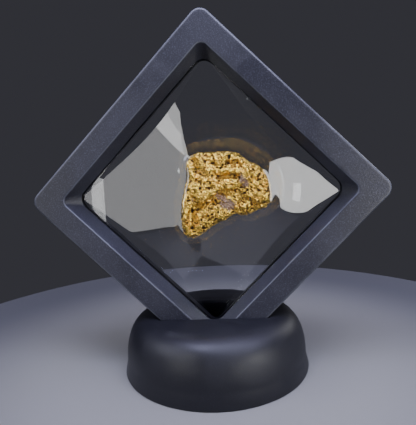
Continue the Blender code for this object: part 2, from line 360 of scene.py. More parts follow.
@dataclass(frozen=True)
class BlackPlastic(Finish):
    """Black moulded plastic with a fine spark-eroded grain, its edges paler with rubbing wear and painted
    highlight.
    """

    colour: Colour = (0.0145, 0.0147, 0.022)
    speck: Colour = (0.075, 0.075, 0.105)
    # Paler bluish edge colour: partly rubbing wear, partly a painted highlight along the rounded edges.
    rub: Colour = (0.10, 0.105, 0.13)
    roughness: float = 0.42
    roughness_spread: Span = (-0.05, 0.07)
    gloss: float = 0.46
    grain_size: float = 0.42 * MM
    grain_depth: float = 0.045 * MM
    speck_range: Span = (0.46, 0.78)
    speck_share: float = 0.6
    smear_size: float = 22 * MM
    smear_swirl: float = 0.6
    smear_range: Span = (0.35, 0.7)
    haze: float = 0.4
    haze_lift: float = 0.002
    rub_patches: Span = (0.3, 0.6)
    rub_shares: Span = (0.25, 0.9)
    rub_polish: float = 0.12

    def wire(self, canvas: NodeCanvas, shader: bpy.types.Node) -> None:
        """Wires grain, a faint handling haze, edges paler with rubbing wear and painted highlight, and a
        soft gloss.

        Args:
            canvas: The material's tree.
            shader: Its Principled node.
        """
        where = canvas.object_place()
        grain = canvas.noise(where, self.grain_size)
        smear = canvas.noise(where, self.smear_size, detail=3.0, distortion=self.smear_swirl)
        hazy = smear.remap(self.smear_range)
        lighter = tuple(c * (1 + self.haze) + self.haze_lift for c in self.colour)
        tone = canvas.mix(hazy, self.colour, lighter)
        dusted = canvas.mix(grain.remap(self.speck_range) * self.speck_share, tone, self.speck)
        # Share of the paler edge colour, in patches: rubbing wear and painted edge highlight.
        rub_and_highlight_share = canvas.attribute("rubbed") * smear.remap(self.rub_patches, *self.rub_shares)
        least, most = (self.roughness + spread for spread in self.roughness_spread)
        canvas.fill(shader, {
            "Base Color": canvas.mix(rub_and_highlight_share, dusted, self.rub),
            "Roughness": hazy.remap((0.0, 1.0), least, most) - rub_and_highlight_share * self.rub_polish,
            "Specular IOR Level": self.gloss,
            "Normal": canvas.bump(grain, self.grain_depth),
        })


@dataclass(frozen=True)
class ClearFilm(Finish):
    """Thin clear film, glossy on both sides."""

    tint: Colour = (0.99, 0.995, 1.0)
    ior: float = 1.57

    def wire(self, canvas: NodeCanvas, shader: bpy.types.Node) -> None:
        """Sets plain transmission.

        Args:
            canvas: The material's tree.
            shader: Its Principled node.
        """
        canvas.fill(shader, {"Base Color": rgba(self.tint), "Roughness": 0.0, "IOR": self.ior,
                             "Transmission Weight": 1.0})


@dataclass(frozen=True)
class NativeGold(Finish):
    """Raw gold that is bright where it stands out and brown in its holes, with quartz grown in it."""

    # bright is the open gold, body the sheltered gold; the step between them is painted shade.
    bright: Colour = (1.0, 0.67, 0.11)
    body: Colour = (0.92, 0.56, 0.105)
    stain: Colour = (0.19, 0.09, 0.024)
    quartz: Colour = (0.40, 0.225, 0.125)
    pale_quartz: Colour = (0.70, 0.50, 0.38)
    patch_size: float = 4 * MM
    patch_strength: float = 0.9
    worn_range: Span = (0.0, 0.4)
    stain_range: Span = (0.3, 0.7)
    stain_dulling: float = 0.7
    roughness: float = 0.22
    sheltered_roughness: float = 0.47
    grit_size: float = 0.45 * MM
    grit_depth: float = 0.13 * MM
    grit_harshness: float = 0.65
    grit_strength: float = 0.5
    grit_range: Span = (0.3, 0.7)
    grit_roughness: Span = (-0.06, 0.1)
    crystal_range: Span = (0.4, 0.7)

    def wire(self, canvas: NodeCanvas, shader: bpy.types.Node) -> None:
        """Wires colour and gloss from how sheltered each place is, with painted shade on the sheltered
        gold.

        Args:
            canvas: The material's tree.
            shader: Its Principled node.
        """
        where = canvas.object_place()
        sheltered, milky = canvas.attribute("sheltered"), canvas.attribute("quartz")
        patches = canvas.noise(where, self.patch_size, detail=3.0)
        grit = canvas.noise(where, self.grit_size, detail=3.0, roughness=self.grit_harshness)
        # Painted shade, in random patches: the more sheltered the gold, the nearer it is to body.
        painted_shade_and_tone = (sheltered + (patches - NOISE_MIDDLE) * self.patch_strength).remap(self.worn_range)
        dirty = (sheltered + (grit - NOISE_MIDDLE) * self.grit_strength).remap(self.stain_range)
        stained = canvas.mix(dirty, canvas.mix(painted_shade_and_tone, self.bright, self.body), self.stain)
        vein = canvas.mix(grit.remap(self.crystal_range), self.quartz, self.pale_quartz)
        softer = sheltered.remap((0.0, 1.0), self.roughness, self.sheltered_roughness)
        canvas.fill(shader, {
            "Base Color": canvas.mix(milky, stained, vein),
            "Metallic": 1.0 - canvas.math("MAXIMUM", milky, dirty * self.stain_dulling),
            "Roughness": softer + grit.remap(self.grit_range, *self.grit_roughness),
            "Normal": canvas.bump(grit, self.grit_depth),
        })


@dataclass(frozen=True)
class StudioPaper(Finish):
    """Matte paper with a painted pool of light: pale under the object and grey further off."""

    # Painted pool of light: near is the lit colour under the object, far the grey it fades to.
    near: Colour = (0.22, 0.218, 0.205)
    far: Colour = (0.075, 0.075, 0.082)
    near_radius: float = 50 * MM
    far_radius: float = 130 * MM
    roughness: float = 0.85
    gloss: float = 0.2

    def wire(self, canvas: NodeCanvas, shader: bpy.types.Node) -> None:
        """Wires the painted pool of light, falling from pale to grey.

        Args:
            canvas: The material's tree.
            shader: Its Principled node.
        """
        away = canvas.out("ShaderNodeVectorMath", "Value", {0: canvas.object_place()}, operation="LENGTH")
        share = away.remap((self.near_radius, self.far_radius))
        canvas.fill(shader, {
            "Base Color": canvas.mix(share, self.near, self.far),
            "Roughness": self.roughness,
            "Specular IOR Level": self.gloss,
        })


# ------------------------------------------------------------------------------ case


@dataclass
class DisplayCase:
    """The square case: two halves that close on the plane y = 0."""

    finish: BlackPlastic
    window_at_face: float = 73.2 * MM
    window_at_film: float = 70 * MM
    window_corner_at_face: float = 2.6 * MM
    window_corner_at_film: float = 4.4 * MM
    corner: float = 4 * MM
    rim_round: float = 0.95 * MM
    mouth_round: float = 0.5 * MM
    parting_round: float = 0.45 * MM
    seam: float = 0.12 * MM
    seat_side: float = 75 * MM
    seat_corner: float = 1 * MM
    seat_depth: float = 1.2 * MM
    rub_width: float = 0.5 * MM
    parting_rub: float = 0.3
    corner_steps: int = 12
    parting_steps: int = 3
    rim_steps: int = 6
    mouth_steps: int = 4
    centre: Vector = field(init=False)
    side: float = field(init=False)
    depth: float = field(init=False)

    def __post_init__(self) -> None:
        """Reads the closed case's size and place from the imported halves."""
        low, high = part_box("case_front")
        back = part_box("case_back")[1]
        self.centre = Vector((0, 0, (low.z + high.z) / 2))
        lost_at_corner = 2 * self.corner * (math.sqrt(2) - 1)
        self.side = (high.z - low.z + lost_at_corner) / math.sqrt(2)
        self.depth = back.y - low.y

    def place(self, u: float, y: float, v: float) -> Vector:
        """Takes a point from the case's own square axes to where it is.

        Args:
            u: Distance across, along one side of the square.
            y: Distance behind the parting plane.
            v: Distance along the other side.

        Returns:
            The point in the model's axes.
        """
        return self.centre + CASE_TURN @ Vector((u, y, v))

    def square(self, half: float, radius: float, y: float) -> list[Vector]:
        """Makes a ring of points round a square with rounded corners.

        Args:
            half: Half the square's side.
            radius: The radius of its corners.
            y: How far behind the parting plane it lies.

        Returns:
            The ring's points, in place.
        """
        reach = half - radius
        points = []
        for corner in range(4):
            for step in range(self.corner_steps + 1):
                angle = (corner + step / self.corner_steps) * math.pi / 2
                east = reach if corner in (0, 3) else -reach
                north = reach if corner in (0, 1) else -reach
                u, v = east + radius * math.cos(angle), north + radius * math.sin(angle)
                points.append(self.place(u, y, v))
        return points

    def section(self) -> list[tuple[float, float, float, float]]:
        """Works out the front half's section, from the seam over the rim to the film's seat.

        Returns:
            Half width, corner radius, depth, and rubbing wear with painted edge highlight of each ring.
        """
        half, face = self.side / 2, -self.depth / 2
        rings = []
        # The parting line's round carries a little rubbing wear and painted edge highlight.
        for turn in quarter_turns(self.parting_steps):
            inset = self.parting_round * (1 - math.sin(turn))
            y = -self.seam / 2 - self.parting_round * (1 - math.cos(turn))
            rings.append((half - inset, self.corner - inset, y, self.parting_rub))
        rings.append((half, self.corner, face + self.rim_round + self.rub_width, 0.0))
        # Rubbing wear and painted edge highlight peak at the middle of each round.
        for turn in quarter_turns(self.rim_steps):
            inset = self.rim_round * (1 - math.cos(turn))
            y = face + self.rim_round * (1 - math.sin(turn))
            rings.append((half - inset, self.corner - inset, y, math.sin(2 * turn)))
        inset = self.rim_round + self.rub_width
        rings.append((half - inset, self.corner - inset, face, 0.0))
        window, film, seat = self.window_at_face / 2, self.window_at_film / 2, self.seat_side / 2
        out = self.mouth_round + self.rub_width
        rings.append((window + out, self.window_corner_at_face + out, face, 0.0))
        # The rubbing wear and painted edge highlight peak at the middle of the window's round, too.
        for turn in quarter_turns(self.mouth_steps):
            out = self.mouth_round * (1 - math.sin(turn))
            y = face + self.mouth_round * (1 - math.cos(turn))
            rings.append((window + out, self.window_corner_at_face + out, y, math.sin(2 * turn)))
        share = self.rub_width / (self.depth / 2)
        rings.append((window + (film - window) * share, self.window_corner_at_face,
                      face + self.mouth_round + self.rub_width, 0.0))
        rings.append((film, self.window_corner_at_film, -self.seat_depth, 0.0))
        rings.append((seat, self.seat_corner, -self.seat_depth, 0.0))
        rings.append((seat, self.seat_corner, -self.seam / 2, 0.0))
        return rings

    def build_half(self, side: Side) -> bpy.types.Object:
        """Builds one half.

        Args:
            side: Which half.

        Returns:
            The half, in place and finished.
        """
        section = self.section()
        rings = [self.square(half, radius, -side.value * y) for half, radius, y, _ in section]
        # Rubbing wear and painted edge highlight of each ring.
        rubbed = [ring[-1] for ring in section]
        name = side.name.lower()
        made = object_from(f"case_{name}_moulding", loft(rings, f"case_{name}_moulding", rubbed))
        shade(made.data)
        made.data.materials.append(self.finish.material)
        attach(made, "root")
        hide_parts(f"case_{name}")
        return made


# ------------------------------------------------------------------------------ foot


@dataclass
class Foot:
    """The round foot, with a slot for the case's lowest corner."""

    finish: BlackPlastic
    case: DisplayCase
    top_radius: float = 23.4 * MM
    shoulder_drop: float = 15.5 * MM
    shoulder_power: float = 2.4
    side_taper: float = 0.9 * MM
    bottom_edge: float = 0.5 * MM
    slot_gap: float = 0.3 * MM
    turns: int = 128
    shoulder_steps: int = 24
    edge_steps: int = 3

    def profile(self) -> list[tuple[float, float]]:
        """Works out the turned outline.

        Returns:
            Radius and height of each point, from the top's middle to the underside's.
        """
        low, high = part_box("foot")
        height, bottom = high.z, high.x
        shoulder = bottom - self.side_taper
        points = [(self.top_radius, height)]
        for angle in quarter_turns(self.shoulder_steps)[1:]:
            out = math.sin(angle) ** (2 / self.shoulder_power)
            down = 1 - math.cos(angle) ** (2 / self.shoulder_power)
            points.append((self.top_radius + (shoulder - self.top_radius) * out,
                           height - self.shoulder_drop * down))
        for angle in quarter_turns(self.edge_steps):
            points.append((bottom - self.bottom_edge * (1 - math.cos(angle)),
                           low.z + self.bottom_edge * (1 - math.sin(angle))))
        return points

    def turned(self) -> bpy.types.Mesh:
        """Turns the profile into a closed solid.

        Returns:
            The solid's mesh.
        """
        angles = [i / self.turns * math.tau for i in range(self.turns)]
        rings = [[Vector((radius * math.cos(angle), radius * math.sin(angle), height))
                  for angle in angles] for radius, height in self.profile()]
        return loft(rings, "foot_moulding")

    def slot_tool(self) -> bpy.types.Object:
        """Makes the shape that the slot is cut with: the closed case, grown by the gap.

        Returns:
            The cutting object.
        """
        half, depth = self.case.side / 2 + self.slot_gap, self.case.depth / 2 + self.slot_gap
        rings = [self.case.square(half, self.case.corner + self.slot_gap, y) for y in (-depth, depth)]
        return object_from("slot_tool", loft(rings, "slot_tool"))

    def build(self) -> bpy.types.Object:
        """Builds the foot.

        Returns:
            The foot, in place and finished.
        """
        made = object_from("foot_moulding", self.turned())
        tool = self.slot_tool()
        cut = made.modifiers.new("slot", "BOOLEAN")
        cut.operation, cut.solver, cut.object = "DIFFERENCE", "EXACT", tool
        settle(made)
        bpy.data.objects.remove(tool)
        shade(made.data)
        made.data.materials.clear()
        made.data.materials.append(self.finish.material)
        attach(made, "root")
        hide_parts("foot")
        return made


# ------------------------------------------------------------------------------ nugget


@dataclass(frozen=True)
class CarvingSizes:
    """The sizes of what the carving makes, each of which is an input of its tree."""

    voxel: float = 0.2 * MM
    swirl: float = 2.2 * MM
    calm_size: float = 6 * MM
    lump_size: float = 3.4 * MM
    lump_height: float = 0.8 * MM
    pit_size: float = 1.7 * MM
    pit_depth: float = 1.9 * MM
    hole_size: float = 1.4 * MM
    hole_depth: float = 1.5 * MM
    pore_size: float = 0.75 * MM
    pore_depth: float = 0.6 * MM
    wire_size: float = 0.9 * MM
    wire_height: float = 0.5 * MM
    crevice_reach: float = 1.1 * MM
    crevice_depth: float = 2.0 * MM
    ridge_reach: float = 1.0 * MM
    ridge_height: float = 0.6 * MM
    vein_reach: float = 2.1 * MM
    crystal_size: float = 1.2 * MM
    crystal_height: float = 1.0 * MM
    shelter_reach: float = 2.2 * MM


class GoldCarving:
    """The Geometry Nodes tree that carves the nugget's holes out of a solid.

    The solid is a field that is above 0 inside the gold. It starts as the depth below the smooth
    core's skin. Lumps, wires and ridges are added to it, and holes and crevices are taken away.
    """

    NOISE_ROUGHNESS = 0.55
    CALM_RANGE = (0.55, 0.72)
    CALMEST = 0.4
    VEIN_CALM = 0.8
    WIRE_RANGE = (0.0, 0.12)
    PIT_RANGE = (0.5, 0.72)
    PIT_SWIRL = 0.6
    CAVE_RANGE = (0.1, 0.52)
    CAVE_CHOICE = (0.35, 0.55)
    CAVE_SMOOTH = 0.4
    SKIN_RANGE = (1.6 * MM, 2.6 * MM)
    CRYSTAL_EDGE = 0.45
    VEIN_RANGE = (0.36, 0.58)
    VEIN_RAGGED = 2.6
    SHELTER_LIFT = 0.03 * MM
    SHELTER_SCALE = 0.75
    LOOKS = ((0.0, 0.0, 0.0), (0.9, 0.2, 0.1), (-0.8, 0.3, 0.4), (0.1, 0.9, -0.3), (-0.1, -0.9, 0.3),
             (0.5, -0.5, 0.6), (-0.5, 0.4, -0.7), (0.2, 0.3, 0.9), (0.1, -0.4, -0.85))

    def __init__(self, sizes: list[str], guides: list[str]) -> None:
        """Starts an empty tree with its named inputs.

        Args:
            sizes: The names of the sizes that the tree reads.
            guides: The names of the wires that it reads.
        """
        self.tree = bpy.data.node_groups.new("carved_gold", "GeometryNodeTree")
        kinds = {"core": "Geometry", **dict.fromkeys(guides, "Object"), **dict.fromkeys(sizes, "Float"),
                 "low_corner": "Vector", "high_corner": "Vector", "skin": "Material"}
        face = self.tree.interface
        for name, kind in kinds.items():
            face.new_socket(name, in_out="INPUT", socket_type=f"NodeSocket{kind}")
        face.new_socket("gold", in_out="OUTPUT", socket_type="NodeSocketGeometry")
        self.canvas = NodeCanvas(self.tree)
        start = self.canvas.add("NodeGroupInput")
        self.given = {socket.name: Wire(self.canvas, socket) for socket in start.outputs}
        self.here = self.canvas.out("GeometryNodeInputPosition", 0)

    def vector(self, operation: str, *values: object, scale: object = None) -> Wire:
        """Adds a Vector Math node.

        Args:
            operation: The node's operation.
            *values: Its vectors in order.
            scale: The factor, for an operation that has one.

        Returns:
            The node's result.
        """
        inputs = dict(enumerate(values))
        if scale is not None:
            inputs["Scale"] = scale
        output = "Value" if operation == "DOT_PRODUCT" else "Vector"
        return self.canvas.out("ShaderNodeVectorMath", output, inputs, operation=operation)

    def blobs(self, name: str, where: Wire, detail: float, **more: object) -> Wire:
        """Adds a noise whose size is the input of that name."""
        return self.canvas.noise(where, self.given[name], detail, self.NOISE_ROUGHNESS, **more)

    def near(self, guide: str, reach: str) -> Wire:
        """Works out how near each place is to a guide.

        Args:
            guide: The input that gives the guide.
            reach: The input that gives its reach.

        Returns:
            1 on the guide, falling to 0 at its reach.
        """
        wire = self.canvas.out("GeometryNodeObjectInfo", "Geometry", {"Object": self.given[guide]})
        away = self.canvas.out("GeometryNodeProximity", "Distance", {0: wire}, target_element="EDGES")
        share = self.canvas.math("SUBTRACT", 1.0, away / self.given[reach], clamp=True)
        return share.remap((0.0, 1.0))

    def depth(self) -> Wire:
        """Works out how far below the core's skin each place lies.

        Returns:
            The depth, below 0 outside the core.
        """
        canvas, core = self.canvas, self.given["core"]
        close = canvas.add("GeometryNodeProximity", {0: core}, target_element="FACES")
        normal = canvas.out("GeometryNodeInputNormal", 0)
        nearest = canvas.out("GeometryNodeSampleNearestSurface", "Value", {
            "Mesh": core, "Value": normal, "Sample Position": self.here}, data_type="FLOAT_VECTOR")
        outward = self.vector("SUBTRACT", canvas.read(close, "Position"), self.here)
        inside = canvas.math("SIGN", self.vector("DOT_PRODUCT", outward, nearest))
        return canvas.read(close, "Distance") * inside

    def swirled(self) -> Wire:
        """Pushes the position about, so that no hole read there is round.

        Returns:
            The pushed position.
        """
        swirl = self.blobs("lump_size", self.here, detail=2.0, output="Color")
        push = self.vector("SUBTRACT", swirl, (NOISE_MIDDLE,) * 3)
        return self.vector("ADD", self.here, self.vector("SCALE", push, scale=self.given["swirl"]))

    def caves(self, name: str, where: Wire) -> Wire:
        """Makes caves in some cells of a named size.

        Args:
            name: The input that gives a cell's size.
            where: The coordinate to read them at.

        Returns:
            1 in the middle of a cave, and 0 between caves.
        """
        inputs = {"Vector": where, "Scale": 1 / self.given[name], "Smoothness": self.CAVE_SMOOTH}
        cell = self.canvas.add("ShaderNodeTexVoronoi", inputs, feature="SMOOTH_F1")
        chosen = self.canvas.out("FunctionNodeSeparateColor", 0, {0: self.canvas.read(cell, "Color")})
        hollow = self.canvas.read(cell, "Distance").remap(self.CAVE_RANGE, 1.0, 0.0)
        return hollow * chosen.remap(self.CAVE_CHOICE)

    def solid(self, depth: Wire, milky: Wire) -> Wire:
        """Adds the gold's lumps and wires to the core, and takes its holes away.

        Args:
            depth: Depth below the core's skin.
            milky: 1 in a vein of quartz, 0 elsewhere.

        Returns:
            The field to mesh.
        """
        given, swirled = self.given, self.swirled()
        calm = self.blobs("calm_size", self.here, detail=1.0).remap(self.CALM_RANGE, 1.0, self.CALMEST)
        torn = calm * (1.0 - milky * self.VEIN_CALM)

        lumps = self.blobs("lump_size", self.here, detail=2.0) - NOISE_MIDDLE
        ripple = self.blobs("wire_size", swirled, detail=1.5) - NOISE_MIDDLE
        wires = self.canvas.math("ABSOLUTE", ripple).remap(self.WIRE_RANGE, 1.0, 0.0)
        gold = depth + lumps * given["lump_height"] + wires * given["wire_height"] * torn
        gold = gold + self.near("ridges", "ridge_reach") * given["ridge_height"]
        gold = gold - self.near("crevices", "crevice_reach") * given["crevice_depth"]

        pits = self.blobs("pit_size", swirled, detail=2.0, distortion=self.PIT_SWIRL)
        pits = pits.remap(self.PIT_RANGE)
        caves = self.caves("hole_size", swirled) * given["hole_depth"]
        caves = caves + self.caves("pore_size", swirled) * given["pore_depth"]
        # Holes reach only so far in, so that none opens a void in the middle.
        skin = depth.remap(self.SKIN_RANGE, 1.0, 0.0)
        gold = gold - (pits * given["pit_depth"] + caves) * (torn * skin)

        inputs = {"Vector": self.here, "Scale": 1 / given["crystal_size"]}
        shards = self.canvas.out("ShaderNodeTexVoronoi", "Distance", inputs, distance="CHEBYCHEV")
        return gold + (self.CRYSTAL_EDGE - shards) * given["crystal_height"] * milky

    def meshed(self, solid: Wire) -> Wire:
        """Turns the field into a skin.

        Args:
            solid: The field.

        Returns:
            The skin.
        """
        canvas, given = self.canvas, self.given
        low, high = given["low_corner"], given["high_corner"]
        cells = self.vector("SCALE", self.vector("SUBTRACT", high, low), scale=1 / given["voxel"])
        counts = canvas.add("ShaderNodeSeparateXYZ", {0: cells})
        steps = {f"Resolution {axis}": canvas.read(counts, axis) for axis in "XYZ"}
        inputs = {"Density": solid, "Background": -1.0, "Min": low, "Max": high, **steps}
        block = canvas.out("GeometryNodeVolumeCube", 0, inputs)
        inputs = {"Volume": block, "Threshold": 0.0, "Adaptivity": 0.0}
        return canvas.out("GeometryNodeVolumeToMesh", 0, inputs)

    def sheltered(self, skin: Wire) -> Wire:
        """Works out how much of what each place faces is the gold's own walls.

        Args:
            skin: The carved skin.

        Returns:
            0 in the open, and 1 in a deep hole.
        """
        canvas, reach = self.canvas, self.given["shelter_reach"]
        normal = canvas.out("GeometryNodeInputNormal", 0)
        start = self.vector("ADD", self.here, self.vector("SCALE", normal, scale=self.SHELTER_LIFT))
        walls = []
        for look in self.LOOKS:
            ray = canvas.add("GeometryNodeRaycast", {
                "Target Geometry": skin, "Source Position": start, "Ray Length": reach,
                "Ray Direction": self.vector("ADD", normal, look)})
            nearness = canvas.math("SQRT", 1.0 - canvas.read(ray, "Hit Distance") / reach)
            walls.append(canvas.read(ray, "Is Hit") * nearness)
        return sum(walls[1:], walls[0]) / (len(walls) * self.SHELTER_SCALE)

    def build(self) -> bpy.types.NodeTree:
        """Wires the whole tree.

        Returns:
            The geometry node tree, with a named input for each size.
        """
        canvas = self.canvas
        depth, milky = self.depth(), self.near("veins", "vein_reach")
        skin = self.meshed(self.solid(depth, milky))
        ragged = (self.blobs("wire_size", self.here, detail=3.0) - NOISE_MIDDLE) * self.VEIN_RAGGED
        kept = {"sheltered": self.sheltered(skin), "quartz": (milky + ragged).remap(self.VEIN_RANGE)}
        gold = skin
        for name, value in kept.items():
            gold = canvas.out("GeometryNodeStoreNamedAttribute", 0, {
                "Geometry": gold, "Name": name, "Value": value}, data_type="FLOAT", domain="POINT")
        gold = canvas.out("GeometryNodeRealizeInstances", 0, {0: gold})
        gold = canvas.out("GeometryNodeSetShadeSmooth", 0, {"Geometry": gold})
        inputs = {"Geometry": gold, "Material": self.given["skin"]}
        gold = canvas.out("GeometryNodeSetMaterial", 0, inputs)
        canvas.add("NodeGroupOutput", {"gold": gold})
        return self.tree


@dataclass
class Nugget:
    """The gold nugget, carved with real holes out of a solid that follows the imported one.

    The guides are routes along its front, as (x, z) points from the window's centre, in millimetres.
    """

    finish: NativeGold
    centre: Vector
    margin: float = 1.5 * MM
    in_front: float = 30 * MM
    merge_distance: float = 0.001 * MM
    most_triangles: int = 195_000
    sizes: CarvingSizes = CarvingSizes()
    guides: dict[str, dict[str, Route]] = field(default_factory=lambda: {
        "crevices": {
            "ledge": ((-5.4, -4.6), (-4.0, -4.4), (-2.2, -3.6), (-0.6, -2.9), (0.8, -1.9), (2.2, -0.8)),
            "ledge end": ((2.2, -0.8), (3.6, -0.4), (5.0, -0.6)),
            "leg": ((-6.6, -5.4), (-6.9, -7.4), (-7.0, -9.4), (-7.2, -11.4)),
            "valley": ((2.0, 6.2), (4.2, 6.0), (5.6, 5.9), (7.4, 6.1), (8.8, 6.4)),
            "brow holes": ((6.8, 10.6), (7.2, 10.4)),
            "brow slot": ((9.0, 10.2), (9.8, 11.2), (10.2, 11.4)),
            "rope side": ((11.5, 9.6), (12.6, 8.0), (13.4, 6.4)),
            "right holes": ((16.4, 4.0), (16.7, 4.6)),
        },
        "ridges": {
            "ear": ((-4.2, 13.4), (-6.4, 12.8), (-7.0, 10.8), (-6.6, 8.8), (-5.4, 7.2), (-4.6, 6.4)),
            "ledge lip": ((-5.6, -3.2), (-3.6, -2.9), (-1.4, -1.9), (0.4, -0.7), (1.8, 0.6), (3.2, 1.6)),
            "rope": ((8.4, 13.6), (11.2, 12.2), (12.6, 9.8), (14.0, 7.6), (14.6, 5.4)),
            "left rim": ((-8.6, -1.0), (-9.0, -4.0), (-9.2, -7.0), (-8.9, -10.0), (-8.2, -12.6)),
            "lower lip": ((9.8, -5.0), (12.2, -5.2), (14.4, -5.4)),
        },
        "veins": {
            "middle": ((3.4, -0.8), (4.6, -1.6), (5.6, -2.4), (6.8, -3.2), (8.2, -3.6)),
            "lower": ((4.6, -3.4), (5.6, -4.2), (6.6, -4.8), (7.6, -5.2)),
            "upper": ((11.6, 5.4), (12.6, 4.6), (13.2, 3.2)),
        },
    })

    def packed_copy(self) -> bpy.types.Object:
        """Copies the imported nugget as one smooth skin.

        Returns:
            The copy, merged and subdivided.
        """
        bm = bmesh.new()
        bm.from_mesh(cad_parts["nugget"].data)
        bmesh.ops.remove_doubles(bm, verts=bm.verts, dist=self.merge_distance)
        made = object_from("nugget_gold", mesh_from(bm, "nugget_core"))
        smooth = made.modifiers.new("smooth", "SUBSURF")
        smooth.levels = smooth.render_levels = 1
        settle(made)
        return made

    def guide(self, name: str, routes: dict[str, Route], tree: BVHTree) -> bpy.types.Object:
        """Makes a wire of edges along several routes on the nugget's front, for the carving to read.

        Args:
            name: The guide's name.
            routes: The routes, by what each one follows.
            tree: The smooth skin.

        Returns:
            The guide object.
        """
        bm = bmesh.new()
        for points in routes.values():
            starts = [self.centre + Vector((x * MM, -self.in_front, z * MM)) for x, z in points]
            hits = [tree.ray_cast(start, Vector((0, 1, 0)))[0] for start in starts]
            verts = [bm.verts.new(hit) for hit in hits if hit is not None]
            for near, far in zip(verts, verts[1:]):
                bm.edges.new((near, far))
        return object_from(name, mesh_from(bm, name))

    def carve(self, made: bpy.types.Object) -> None:
        """Runs the carving on the core and keeps its result as a plain mesh.

        Args:
            made: The object that holds the smooth core.
        """
        skin = tree_of(made.data)
        guides = {name: self.guide(name, routes, skin) for name, routes in self.guides.items()}
        sizes = asdict(self.sizes)
        tree = GoldCarving(list(sizes), list(guides)).build()
        work = made.modifiers.new("carving", "NODES")
        work.node_group = tree
        low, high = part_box("nugget")
        edge = Vector((self.margin,) * 3)
        values = {**sizes, **guides, "low_corner": low - edge, "high_corner": high + edge,
                  "skin": self.finish.material}
        for item in tree.interface.items_tree:
            if item.in_out == "INPUT" and item.name in values:
                work[item.identifier] = values[item.name]
        settle(made)
        bpy.data.node_groups.remove(tree)
        for guide in guides.values():
            bpy.data.objects.remove(guide)

    def thin_out(self, made: bpy.types.Object) -> None:
        """Merges the flattest faces until the skin is light enough to carry.

        Args:
            made: The carved object.
        """
        triangles = sum(len(face.vertices) - 2 for face in made.data.polygons)
        if triangles > self.most_triangles:
            fewer = made.modifiers.new("fewer", "DECIMATE")
            fewer.ratio = self.most_triangles / triangles
            settle(made)

    @staticmethod
    def keep_largest(mesh: bpy.types.Mesh) -> None:
        """Deletes crumbs and sealed bubbles, and leaves the largest connected skin.

        Args:
            mesh: The carved mesh.
        """
        bm = bmesh.new()
        bm.from_mesh(mesh)
        unseen, islands = set(bm.verts), []
        while unseen:
            island, edge = [], [unseen.pop()]
            while edge:
                vert = edge.pop()
                island.append(vert)
                for link in vert.link_edges:
                    other = link.other_vert(vert)
                    if other in unseen:
                        unseen.remove(other)
                        edge.append(other)
            islands.append(island)
        islands.sort(key=len)
        crumbs = [vert for island in islands[:-1] for vert in island]
        bmesh.ops.delete(bm, geom=crumbs, context="VERTS")
        bm.to_mesh(mesh)
        bm.free()

    def build(self) -> bpy.types.Object:
        """Builds the nugget.

        Returns:
            The nugget, in place and finished.
        """
        made = self.packed_copy()
        self.carve(made)
        self.keep_largest(made.data)
        self.thin_out(made)
        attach(made, "root")
        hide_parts("nugget")
        return made


# ------------------------------------------------------------------------------ films


